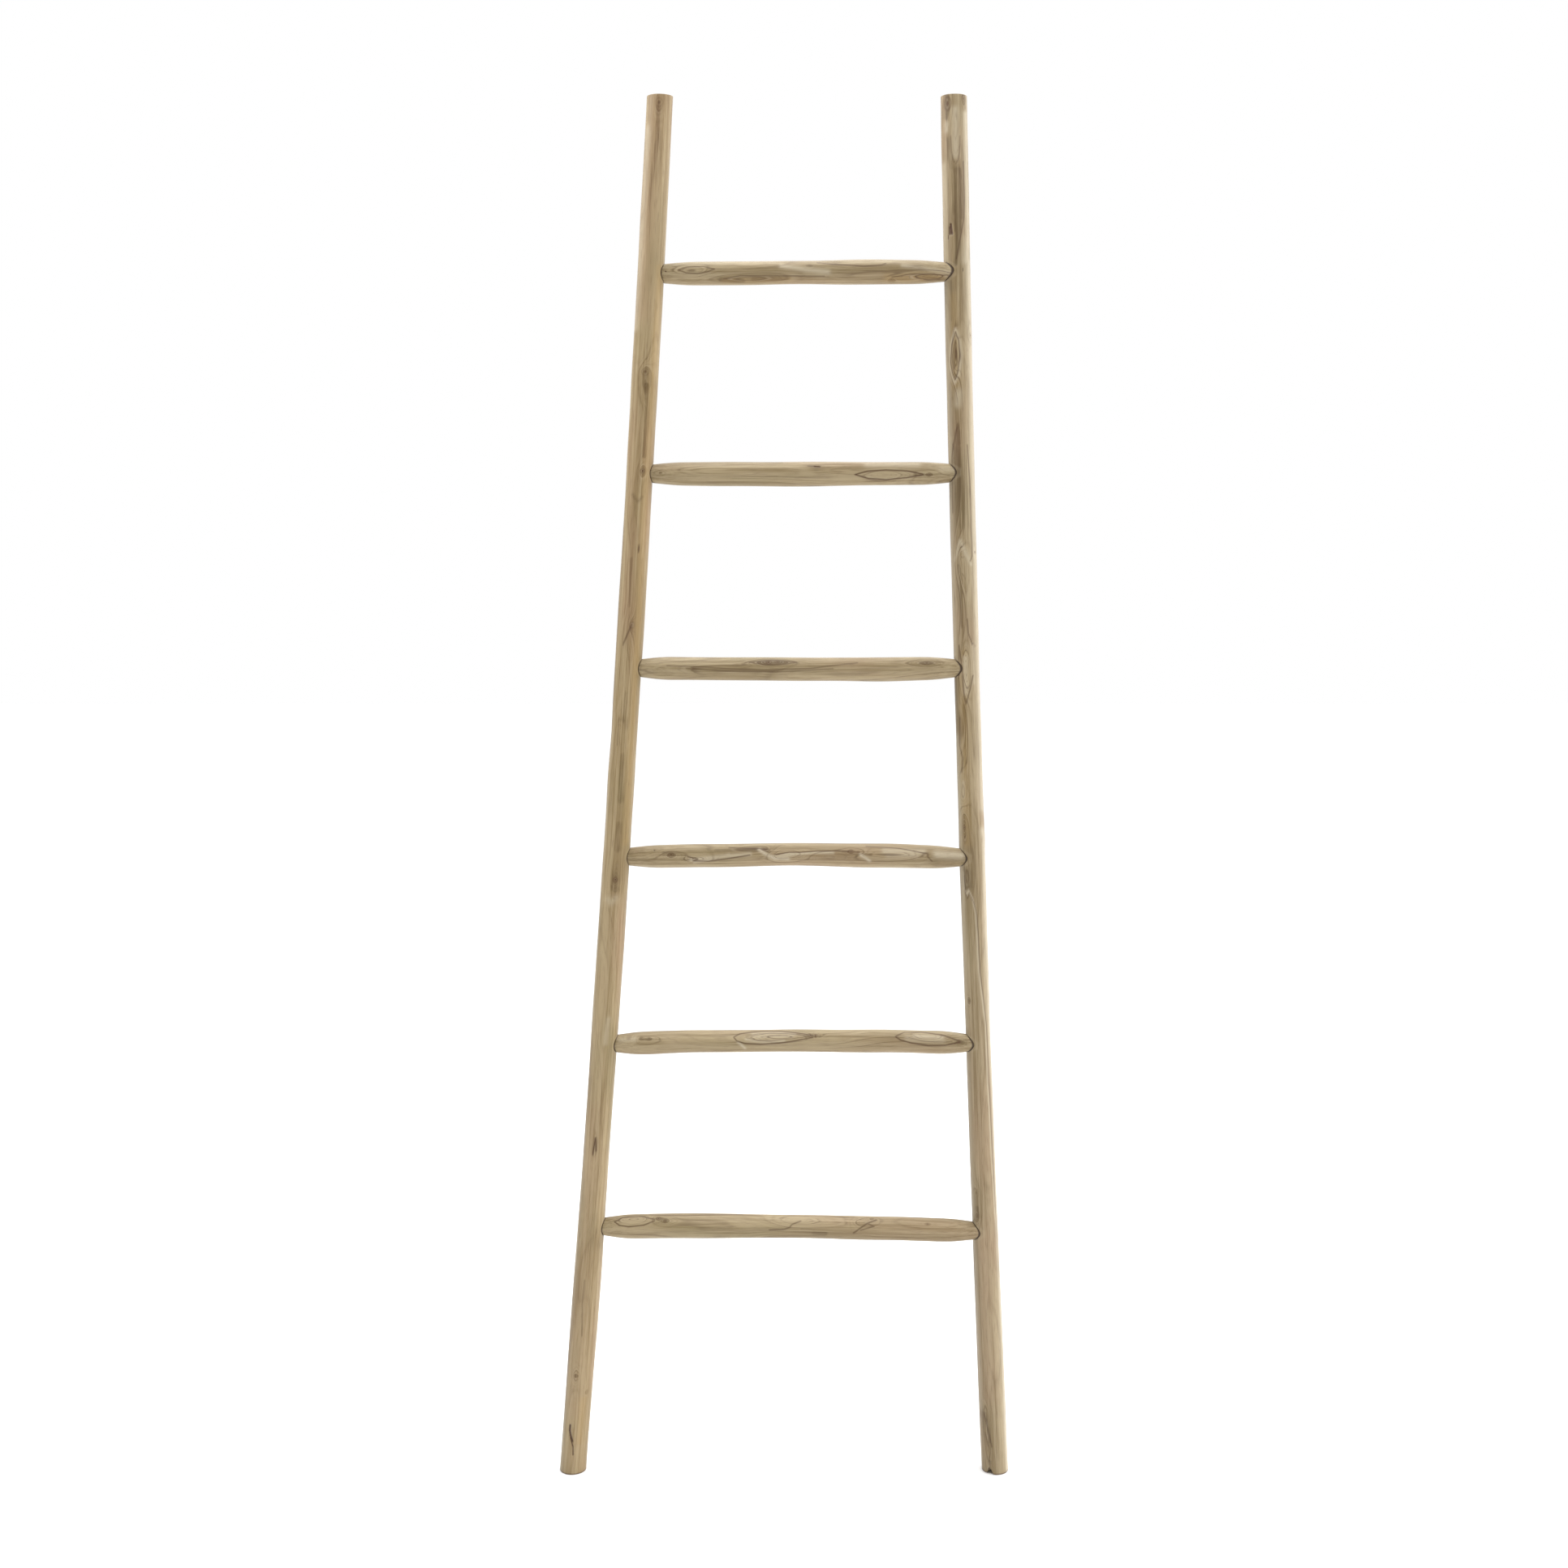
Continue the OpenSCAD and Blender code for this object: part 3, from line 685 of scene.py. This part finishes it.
RIGHT_RAIL = BARE | {
    "seed": 23, "sap": 1.9, "waves": [(0.8, 1, 75), (0.4, 2, 10)], "veins": 0.14,
    "knots": [(1.984, -35, 0.0048, 1.8, 0.85, 0.0005), (1.513, -43, 0.0015, 2.4, 0.8, 0.0003),
        (1.668, 54, 0.003, 1.2, 0.6, 0.0007), (0.971, -39, 0.0017, 1.8, 0.9, 0.0004),
        (0.717, -43, 0.0022, 1, 0.7, 0.0003), (0.43, -41, 0.0036, 1.6, 0.35, 0.0004),
        (0.395, -41, 0.0024, 1.2, 0.7, 0.0003), (1.991, 40, 0.003, 1.3, 0.6, 0.0003)],
    "hills": [(1.95, -3, 0.05, 0.045, 0.0085, 0.8, 0.4), (1.638, -22, 0.036, 0.036, 0.0085, 1.9, 0.9),
        (1.46, -16, 0.075, 0.09, 0.0105, -0.9, 0.4), (1.35, -24, 0.03, 0.05, 0.01, 1.5, 0.8),
        (1.3, -32, 0.04, 0.05, 0.0075, -1.4, 0.8), (1.2, -10, 0.03, 0.045, 0.0075, 1.8, 0.9),
        (1.12, -25, 0.05, 0.06, 0.0085, -1.4, 0.7), (1.02, -40, 0.03, 0.02, 0.007, 1.3, 0.7),
        (0.97, -40, 0.03, 0.03, 0.006, -1.5, 0.8), (0.9, -38, 0.04, 0.02, 0.009, -1.2, 0.6),
        (0.41, -40, 0.03, 0.03, 0.009, -1.2, 0.4), (0.07, -32, 0.04, 0.04, 0.006, -1.3, 0.6)],
    "streaks": [(0.01, 0.62, [(1.89, 3), (1.838, 5)]), (0.006, 0.8, [(1.893, 10), (1.85, 18), (1.83, 14)]),
        (0.006, 0.72, [(1.832, 6), (1.812, 2)]), (0.0038, 0.72, [(1.812, 2), (1.785, -2), (1.765, -12)]),
        (0.0036, 0.62, [(1.936, -36), (1.915, -31), (1.895, -22)]), (0.0032, 0.58, [(1.934, 32),
        (1.895, 27)]), (0.003, 0.5, [(1.972, -38), (1.955, -42)]), (0.005, 0.35, [(1.88, -50), (1.8, -46)]),
        (0.004, 0.45, [(1.74, -40), (1.69, -40)]), (0.004, 0.4, [(1.662, -20), (1.622, -23)]),
        (0.003, 0.5, [(1.6, -60), (1.53, -60)]), (0.002, 0.85, [(1.543, -18), (1.53, -18)]),
        (0.005, 0.72, [(1.533, -17), (1.518, -17)]), (0.0124, 0.56, [(1.506, -10), (1.46, 0), (1.405, 2)]),
        (0.003, 0.6, [(1.53, 24), (1.5, 22)]), (0.004, 0.6, [(1.345, -33), (1.26, -29)]),
        (0.0055, 0.45, [(1.22, -32), (1.19, -50)]), (0.0055, 0.6, [(1.145, -22), (1.09, -25)]),
        (0.003, 0.6, [(0.992, -40), (0.95, -38)]), (0.007, 0.5, [(0.905, -35), (0.885, -32)]),
        (0.006, 0.3, [(0.45, -34), (0.428, -24)]), (0.0042, 0.46, [(0.407, -38), (0.395, -29)]),
        (0.0026, 0.34, [(0.093, -42), (0.05, -22)]), (0.0036, 0.75, [(0.013, -32), (0.02, -28)])],
    # The long pales down both flanks, at 52 to 68 degrees either way of the front, are painted highlight
    # where the flanks catch the light.
    "pales": [(0.0055, 0.7, [(1.975, -1), (1.914, -3)]), (0.006, 0.8, [(1.97, 52), (1.8, 54)]),
        (0.004, 0.6, [(1.957, -40), (1.948, -44)]), (0.008, 0.8, [(1.8, 52), (1.77, 40)]),
        (0.008, 0.8, [(1.77, 54), (1.6, 60), (1.3, 60), (1, 60)]), (0.007, 0.6, [(1.9, -68), (1.5, -66),
        (1.2, -68)]), (0.006, 0.4, [(1.1, -68), (0.1, -66)]), (0.0026, 0.75, [(1.676, -19), (1.655, -43),
        (1.629, -53), (1.612, -42), (1.602, -28), (1.612, -10), (1.638, 3), (1.66, -3), (1.676, -19)]),
        (0.006, 0.6, [(1.588, -10), (1.572, -16)]), (0.0032, 0.7, [(1.38, -23), (1.36, -44), (1.343, -70)]),
        (0.0036, 0.7, [(1.38, -20), (1.362, 5), (1.348, 28)]), (0.0042, 0.65, [(1.215, -12), (1.165, -14)]),
        (0.0045, 0.55, [(1.235, 30), (1.18, 30)]), (0.0026, 0.55, [(1.037, -38), (1.015, -40)]),
        # This first pale, down the lower right flank, is painted highlight too.
        (0.006, 0.95, [(0.966, 52), (0.93, 62), (0.6, 68), (0, 64)]), (0.0015, 0.85, [(0.905, -55),
        (0.881, -52), (0.873, -36), (0.88, -29), (0.867, -11), (0.847, 1), (0.814, 4), (0.761, 7),
        (0.717, 21), (0.681, 32), (0.6, 32), (0.45, 42), (0.3, 54)])],
    "lines": [(0.0012, 0.42, [(1.938, -24), (1.918, -21), (1.906, -13), (1.902, -3), (1.906, 7),
        (1.918, 15), (1.938, 18)]), (0.001, 0.6, [(1.905, 33), (1.853, 35), (1.83, 31), (1.8, 10),
        (1.772, -8)]), (0.001, 0.6, [(1.672, -19), (1.655, -37), (1.63, -46), (1.615, -36), (1.606, -25),
        (1.616, -13), (1.64, -2), (1.66, -6), (1.672, -19)]), (0.0008, 0.5, [(1.66, -20), (1.64, -34),
        (1.622, -28), (1.63, -14), (1.66, -20)]), (0.001, 0.55, [(1.515, 23), (1.44, 34), (1.36, 36),
        (1.352, 22)]), (0.001, 0.55, [(1.54, -22), (1.5, -52), (1.42, -56)]), (0.001, 0.6, [(1.27, 2),
        (1.25, 5), (1.235, 22), (1.233, 40)]), (0.001, 0.6, [(1.19, -44), (1.233, -40), (1.2, -28),
        (1.16, -22), (1.15, -13), (1.17, 6), (1.19, 22)]), (0.0009, 0.6, [(1.13, -47), (1.087, -51),
        (1.072, -36), (1.05, -44)]), (0.0009, 0.5, [(0.9, -48), (0.876, -46), (0.868, -34), (0.875, -26),
        (0.862, -6), (0.845, 6), (0.814, 10), (0.761, 13), (0.717, 27), (0.681, 38), (0.6, 40), (0.45, 50),
        (0.3, 62)]), (0.0009, 0.7, [(0.093, -46), (0.073, -32), (0.042, -14)]), (0.0009, 0.6, [(0.062, -44),
        (0.042, -30)])],
    "cracks": [(0.0017, 0.001, [(1.82, -30), (1.8065, -25)]), (0.0014, 0.0008, [(1.816, -35),
        (1.8065, -35)]), (0.0009, 0.0006, [(1.805, -43), (1.8, -44)])],
    "bumps": [(0.955, 62, 0.018, 0.01, 0.0009), (1.99, -60, 0.02, 0.012, -0.0006)],
    "chips": [(1.365, 58, 0.005, 0.0028, 0.0009)],
    "foot": [(-30, 12, 0.011)],
    "blushes": [(0.012, 0.7, [(0.36, -15), (0.12, -20)]), (0.008, 0.5, [(1.95, 20), (1.8, 40)])],
    "straws": [(0.008, 0.7, [(1.22, -20), (1.1, -25), (0.95, -30)]), (0.008, 0.5, [(1.72, -30),
        (1.6, -20)])],
}
right_teak = teak("right_rail_teak", paint(164, 147, 116), paint(132, 113, 80), paint(93, 75, 46),
                  paint(80, 56, 32), 0.30, 0.28)
rail("right", RIGHT_RAIL, right_teak)


# ----------------------------------------------------------------------
# Rungs. Six shorter, thinner teak poles. Both ends are turned down to a round neck, which runs on
# as a tenon into the rail's socket, where it is glued and held by one nail.

TENON_R = 0.0130
TENON_EDGE = 0.001
RUNG_SIDES = 104
NECK_SLIM = 0.0011
NECK_SLIM_REACH = 0.003
NECK_TAPER = 0.01
NECK_TAPER_LENGTH = 0.012
NECK_LENGTH = 0.0145
TENON_SHOULDER = 0.001
RELIEF_FADE = 0.02
RUNG_ROWS = 0.0013
RUNG_FINE_ROWS = 0.0009
RUNG_FINE_REACH = 0.014
# How far past the rail's skin, and over what span, each rung's neck takes the dark glue line and painted
# joint shade.
GLUE_SHADE_PAST = 0.0008
GLUE_SHADE_FADE = 0.0006

RUNG_FIGURE = {"waves": [(0.6, 1, 100), (0.35, 2, 0)], "veins": 0.32}
RUNGS = [{
    "seed": 31, "sap": 2,
    "hills": [(0.065, 0, 0.022, 0.026, 0.0075, 1.7, 0.8), (0.4, -32, 0.03, 0.04, 0.0065, -1.9, 0.9),
        (0.15, -40, 0.04, 0.05, 0.008, -1.3, 0.5), (0.3, 30, 0.05, 0.06, 0.008, 1.4, 0.6)],
    "knots": [(0.344, -50, 0.0022, 1.2, 0.55, 0), (0.229, 24, 0.002, 1.2, 0.5, 0)],
    "streaks": [(0.004, 0.62, [(0.105, -44), (0.135, -52)]), (0.0034, 0.55, [(0.15, -44), (0.2, -50)]),
        (0.0042, 0.7, [(0.345, -46), (0.375, -32), (0.405, -32)]), (0.003, 0.4, [(0.38, -52),
        (0.42, -50)])],
    "pales": [(0.004, 0.75, [(0.19, 22), (0.225, 2), (0.255, -10)]), (0.0034, 0.6, [(0.36, 20), (0.4, 2),
        (0.43, -14)])],
    "straws": [(0.008, 0.9, [(0.34, -40), (0.41, -36)]), (0.006, 0.6, [(0.11, -50), (0.2, -50)])],
    "lines": [(0.0009, 0.55, [(0.109, -38), (0.132, -24), (0.164, -26), (0.25, -30)]),
        (0.001, 0.6, [(0.24, 42), (0.261, 30), (0.305, 16), (0.33, 22), (0.336, 30)]),
        (0.0009, 0.62, [(0.045, 8), (0.056, -8), (0.072, -12), (0.086, -4), (0.096, 10), (0.08, 24),
        (0.058, 22), (0.045, 8)]), (0.0008, 0.6, [(0.345, -36), (0.37, -22), (0.4, -22), (0.425, -34)])],
    "cracks": [(0.001, 0.0018, [(0.0268, 2), (0.0275, 1)])],
}, {
    "seed": 32, "sap": 2.4,
    "hills": [(0.356, -12, 0.03, 0.03, 0.0075, 1.9, 1), (0.1, 10, 0.05, 0.06, 0.008, 1, 0.4)],
    "knots": [(0.036, 0, 0.002, 1, 0.75, 0.0004), (0.417, -11, 0.0022, 1.1, 0.8, 0.0005)],
    "streaks": [(0.0045, 0.45, [(0.14, -25), (0.2, -22)]), (0.003, 0.45, [(0.305, -9), (0.312, -9)]),
        (0.0026, 0.5, [(0.395, -10), (0.412, -11)])],
    "lines": [(0.001, 0.8, [(0.312, -9), (0.33, 8), (0.356, 14), (0.385, 8), (0.408, -9)]),
        (0.001, 0.8, [(0.312, -9), (0.33, -28), (0.356, -36), (0.385, -26), (0.408, -12)]),
        (0.0009, 0.6, [(0.245, 35), (0.256, 32)])],
    "pales": [(0.005, 0.45, [(0.435, 20), (0.47, 22)]), (0.006, 0.45, [(0.33, 46), (0.4, 44)])],
    "cracks": [(0.001, 0.001, [(0.254, 33), (0.262, 31)])],
}, {
    "seed": 33, "sap": 2.9,
    "hills": [(0.216, 37, 0.035, 0.035, 0.006, -1.6, 0.9), (0.434, 28, 0.03, 0.03, 0.006, -1.3, 0.7),
        (0.12, 10, 0.1, 0.06, 0.009, -0.4, 0.6), (0.33, 5, 0.08, 0.08, 0.009, -0.7, 0.7)],
    "knots": [(0.208, 36, 0.0026, 1.5, 1, 0.0006), (0.22, 38, 0.0022, 1.4, 0.9, 0.0004),
        (0.434, 28, 0.0026, 1.2, 0.6, 0.0005)],
    "streaks": [(0.0026, 0.7, [(0.192, 37), (0.236, 38)]), (0.0036, 0.5, [(0.424, 30), (0.452, 27)])],
    "lines": [(0.0009, 0.5, [(0.062, 14), (0.1, 12), (0.153, 2), (0.2, -4), (0.27, 6), (0.335, 34)]),
        (0.0009, 0.45, [(0.09, 2), (0.153, -10), (0.22, -12), (0.3, 4)]), (0.0008, 0.65, [(0.18, 36),
        (0.198, 47), (0.215, 50), (0.232, 46), (0.248, 37)]), (0.0008, 0.65, [(0.18, 36), (0.198, 26),
        (0.215, 23), (0.232, 27), (0.248, 37)])],
}, {
    "seed": 34, "sap": 1.8,
    "hills": [(0.125, -8, 0.02, 0.018, 0.006, 1.7, 0.9), (0.215, 40, 0.022, 0.05, 0.008, -1.5, 0.9),
        (0.245, 5, 0.04, 0.015, 0.008, 1.7, 0.9), (0.42, 10, 0.035, 0.06, 0.009, 1.3, 0.8),
        (0.31, 0, 0.04, 0.04, 0.009, -1.3, 0.8)],
    "knots": [(0.086, 14, 0.003, 1.2, 0.8, 0.0006), (0.346, 25, 0.0024, 1, 0.9, 0.0006),
        (0.357, 23, 0.0018, 1, 0.6, 0.0003)],
    "streaks": [(0.0045, 0.75, [(0.076, 17), (0.108, 8)]), (0.003, 0.6, [(0.098, 4), (0.118, -16)]),
        (0.005, 0.45, [(0.15, -30), (0.22, -10)]), (0.0032, 0.55, [(0.15, 36), (0.2, 34), (0.225, 30)]),
        (0.003, 0.6, [(0.335, 24), (0.375, 12)]), (0.0045, 0.45, [(0.27, -18), (0.32, -20)])],
    "pales": [(0.006, 0.9, [(0.47, 22), (0.505, 20)]), (0.005, 0.7, [(0.395, 28), (0.45, 30)]),
        (0.003, 0.7, [(0.115, -12), (0.16, 4), (0.2, 12)]), (0.0026, 0.65, [(0.12, -26), (0.15, -6),
        (0.17, 12)]), (0.003, 0.95, [(0.214, 34), (0.222, 12), (0.236, -12), (0.255, -16)]),
        (0.0024, 0.9, [(0.36, 10), (0.368, -6), (0.373, -20)]), (0.0022, 0.8, [(0.243, 0), (0.252, 9),
        (0.27, 10), (0.295, 17), (0.32, 18)]), (0.0016, 0.8, [(0.232, 0), (0.252, -2), (0.264, 6)]),
        (0.005, 0.6, [(0.4, 12), (0.44, 16)])],
    "lines": [(0.001, 0.65, [(0.17, 50), (0.212, 42), (0.229, 30)]), (0.001, 0.65, [(0.216, 38),
        (0.227, 20)]), (0.0009, 0.75, [(0.237, 6), (0.257, 18), (0.272, 17), (0.298, 26), (0.322, 27),
        (0.343, 26)]), (0.001, 0.7, [(0.11, 4), (0.125, -8), (0.118, -18), (0.14, -20), (0.17, -6),
        (0.2, 8)]), (0.001, 0.6, [(0.368, 56), (0.415, 46), (0.457, 22)]), (0.001, 0.6, [(0.457, 22),
        (0.457, 6), (0.463, -14)])],
    "cracks": [(0.0009, 0.001, [(0.061, 40), (0.062, 40)])],
}, {
    "seed": 35, "sap": 2.1,
    "hills": [(0.262, 34, 0.042, 0.042, 0.0085, 2, 1), (0.482, 32, 0.03, 0.03, 0.0085, 2, 1),
        (0.045, 36, 0.012, 0.015, 0.006, 1.2, 0.7)],
    "knots": [(0.061, 38, 0.0022, 1, 0.8, 0.0005), (0.073, 34, 0.0018, 1, 0.8, 0.0004),
        (0.316, 42, 0.0016, 1, 0.85, 0.0004), (0.316, 33, 0.0016, 1, 0.85, 0.0004),
        (0.527, 19, 0.0022, 1.2, 0.8, 0.0004)],
    "streaks": [(0.004, 0.5, [(0.06, 34), (0.087, 32)]), (0.0025, 0.45, [(0.3, 37), (0.322, 37)]),
        (0.003, 0.55, [(0.52, 22), (0.545, 30)])],
    "pales": [(0.005, 0.5, [(0.225, 36), (0.28, 41)]), (0.005, 0.5, [(0.45, 28), (0.5, 26)]),
        (0.004, 0.6, [(0.03, 36), (0.052, 35)]), (0.0026, 0.75, [(0.215, 22), (0.24, 8), (0.27, 14)]),
        (0.003, 0.6, [(0.225, 52), (0.26, 58), (0.285, 50)]), (0.0035, 0.7, [(0.46, 42), (0.5, 40)]),
        (0.0022, 0.85, [(0.203, 8), (0.209, -10), (0.213, -26)])],
    "lines": [(0.001, 0.78, [(0.197, 36), (0.206, 55), (0.222, 66), (0.24, 71), (0.265, 67), (0.286, 58),
        (0.312, 42)]), (0.001, 0.72, [(0.197, 32), (0.201, 15), (0.212, 2), (0.235, -4), (0.262, 0),
        (0.286, 12), (0.312, 30)]), (0.0007, 0.45, [(0.215, 38), (0.232, 52), (0.25, 56), (0.285, 47),
        (0.308, 38)]), (0.0007, 0.45, [(0.215, 30), (0.232, 16), (0.25, 13), (0.285, 24), (0.308, 35)]),
        (0.0006, 0.35, [(0.236, 34), (0.252, 41), (0.275, 39)]), (0.0007, 0.4, [(0.452, 33), (0.47, 20),
        (0.49, 15), (0.515, 20)]), (0.001, 0.78, [(0.433, 35), (0.44, 20), (0.455, 7), (0.48, -3),
        (0.505, 1), (0.526, 17)]), (0.0011, 0.72, [(0.433, 37), (0.446, 66), (0.47, 72), (0.505, 50),
        (0.526, 24)])],
}, {
    "seed": 36, "sap": 2,
    "hills": [(0.07, 56, 0.024, 0.022, 0.0075, 1.8, 0.9), (0.31, 50, 0.035, 0.03, 0.009, 1.5, 0.8),
        (0.41, 45, 0.02, 0.02, 0.008, -1.5, 0.8)],
    "knots": [(0.106, 56, 0.0024, 1.1, 0.9, 0.0005), (0.116, 42, 0.0022, 1, 0.95, 0.0005),
        (0.421, 70, 0.0022, 1.1, 0.6, 0.0004), (0.503, 46, 0.0014, 1, 0.7, 0.0002)],
    "streaks": [(0.0035, 0.4, [(0.095, 55), (0.118, 50)]), (0.0046, 0.6, [(0.336, -14), (0.352, -14)]),
        (0.0034, 0.45, [(0.318, 2), (0.336, -4)]), (0.004, 0.4, [(0.16, 30), (0.27, 30)])],
    "lines": [(0.001, 0.7, [(0.092, 84), (0.12, 76), (0.145, 73), (0.186, 80), (0.229, 88)]),
        (0.001, 0.75, [(0.1, 44), (0.084, 24), (0.062, 18), (0.048, 26), (0.041, 45), (0.052, 66),
        (0.08, 70), (0.1, 52)]), (0.001, 0.65, [(0.316, 46), (0.303, 28), (0.3, 14), (0.292, 4),
        (0.27, 0)]), (0.001, 0.75, [(0.428, 62), (0.414, 42), (0.402, 14), (0.394, -6)]),
        (0.0009, 0.6, [(0.414, 42), (0.424, 28), (0.404, 8)]), (0.0009, 0.45, [(0.285, 60), (0.3, 84),
        (0.36, 80), (0.4, 74)])],
}]
rung_teak = teak("rung_teak", paint(164, 147, 114), paint(132, 114, 80), paint(96, 77, 48),
                 paint(80, 56, 32), 0.35, 0.22)


def rung(i, marks):
    """Skin of a rung: the measured radius and the pole's relief between its shoulders, a neck that
    tapers slimmer than the socket past them, and the tenon's radius from there to the ends. Then the
    nails' holes are bored."""
    node = f"rung_{i}"
    left, right = tenon_ends(i)
    pole = Pole(node, left, right, UPWARDS, TENON_R + 0.0001)
    first, last = pole.rings[0, 0], pole.rings[-1, 0]
    fine_places = [first, last] + [knot[0] for knot in marks["knots"]]
    rows = stations(pole.length, RUNG_ROWS, RUNG_FINE_ROWS, fine_places, RUNG_FINE_REACH)
    s, drawn_in, share = capped(rows, TENON_EDGE, pole.length, [0.4, 0.8])
    s, a = np.meshgrid(s, around(RUNG_SIDES), indexing="ij")
    body = pole.eased(3, s)
    inside = np.clip(np.minimum(s - first, last - s) / RELIEF_FADE, 0, 1)
    into = np.maximum(first - s, s - last)
    thinned = 1 - np.exp(-(np.clip(into, 0, 1) / NECK_SLIM_REACH) ** 2)
    girth = body - (NECK_SLIM + NECK_TAPER * np.clip(into, 0, NECK_TAPER_LENGTH)) * thinned
    girth = girth + (TENON_R - girth) * np.clip((into - NECK_LENGTH) / TENON_SHOULDER, 0, 1)
    r = (girth + relief_of(marks, s, a, body) * inside - drawn_in[:, None]) * share[:, None]
    points = pole.points(s, a, r)
    blank = closed_skin(node, points, points[0].mean(0), points[-1].mean(0), -1)
    mesh = bored(blank, [*nail_holes(-1, left[2]), *nail_holes(1, right[2])])
    points = finish_wood(mesh, pole, marks, False)
    # Dark glue line with painted shade in the joint gap: on each neck, from just outside the rail's skin
    # into its socket.
    sunk = np.full(len(points), -1.0)
    for side_rail in rails.values():
        s, a, r = side_rail.places(points)
        sunk = np.maximum(sunk, side_rail.eased(3, s) - r)
    add_values(mesh, "glue", np.clip((sunk + GLUE_SHADE_PAST) / GLUE_SHADE_FADE, 0, 1))
    return place_piece(f"teak_rung_{i}", mesh, node, rung_teak)


for i, marks in enumerate(RUNGS, 1):
    rung(i, BARE | RUNG_FIGURE | marks)


# ----------------------------------------------------------------------
# Locking nails. Twelve small steel nails, driven from the back of the rails through the tenons and
# punched just below the skin. Their drawn wire is dull, with the die's fine marks along it.

wire = Finish(bpy.data.materials.new("nail_steel"))
object_place = wire.node("ShaderNodeTexCoord", {}, {}, "Object")
along_wire = wire.node("ShaderNodeVectorMath", {"operation": "MULTIPLY"},
                       {0: object_place, 1: (4000, 300, 4000)})
scratches = wire.noise(along_wire, 3, 0.6)
in_blots = wire.node("ShaderNodeVectorMath", {"operation": "SCALE"}, {0: object_place, "Scale": 900.0})
tarnish = wire.noise(in_blots, 3)
steel = wire.mix(wire.ramp(tarnish, 0.45, 0.75, 0, 0.7), paint(158, 156, 150), paint(112, 100, 84))
dullness = 0.34 + scratches * 0.2 + (tarnish - 0.5) * 0.2
nail_steel = wire.surface({"Metallic": 1.0}, steel, dullness, scratches, 0.0001)
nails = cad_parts["locking_nails"]
nails.data.materials.clear()
nails.data.materials.append(nail_steel)


# ----------------------------------------------------------------------
# Studio. A plain pale floor under a white surround that gives less light from the front and the left,
# with broad soft lights from above and from both sides, and an even glow from the upper right.

floor_mesh = bpy.data.meshes.new("studio_floor")
floor_mesh.from_pydata([(-30, -30, 0), (30, -30, 0), (30, 30, 0), (-30, 30, 0)], [], [(0, 1, 2, 3)])
studio_floor = bpy.data.objects.new("studio_floor", floor_mesh)
scene.collection.objects.link(studio_floor)
lino = Finish(bpy.data.materials.new("studio_floor"))
pale = lino.node("ShaderNodeBsdfPrincipled", {}, {"Base Color": (0.9, 0.9, 0.9, 1.0), "Roughness": 0.8})
lino.node("ShaderNodeOutputMaterial", {}, {"Surface": pale})
floor_mesh.materials.append(lino.owner)

surround = Finish(bpy.data.worlds.new("studio_surround"))
way = surround.node("ShaderNodeTexCoord", {}, {}, "Generated")
to_right = surround.node("ShaderNodeSeparateXYZ", {}, {0: way}, "X")
to_back = surround.node("ShaderNodeSeparateXYZ", {}, {0: way}, "Y")
lit = 0.44 + to_back * 0.26 + to_right * 0.23
seen = surround.node("ShaderNodeLightPath", {}, {}, "Is Camera Ray")
strength = lit.math("MAXIMUM", lit, seen)
even = surround.node("ShaderNodeBackground", {}, {"Color": (1, 1, 1, 1), "Strength": strength})
surround.node("ShaderNodeOutputWorld", {}, {"Surface": even})
scene.world = surround.owner


def soft_light(name, place, aim, width, height, power):
    """A rectangular soft box at place, turned towards aim."""
    data = bpy.data.lights.new(name, "AREA")
    data.shape = "RECTANGLE"
    data.size, data.size_y, data.energy = width, height, power
    light = bpy.data.objects.new(name, data)
    axis = np.array(aim) - np.array(place)
    flat = math.hypot(axis[0], axis[1])
    light.location = place
    light.rotation_euler = (math.atan2(flat, -axis[2]), 0.0, math.atan2(-axis[0], axis[1]))
    scene.collection.objects.link(light)


soft_light("light_above", (0.0, 0.1, 4.2), (0.0, 0.0, 1.0), 2.5, 2.5, 55.0)
soft_light("light_left", (-1.6, -0.1, 3.0), (0.0, 0.0, 1.8), 1.1, 1.1, 42.0)
soft_light("light_right", (4.6, 0.9, 1.6), (0.0, 0.0, 1.0), 2.4, 3.2, 68.0)
sky_data = bpy.data.lights.new("light_overhead", "SUN")
sky_data.energy = 3.0
sky_data.angle = math.radians(110)
sky = bpy.data.objects.new("light_overhead", sky_data)
sky.rotation_euler = (0.0, math.radians(30), 0.0)
scene.collection.objects.link(sky)
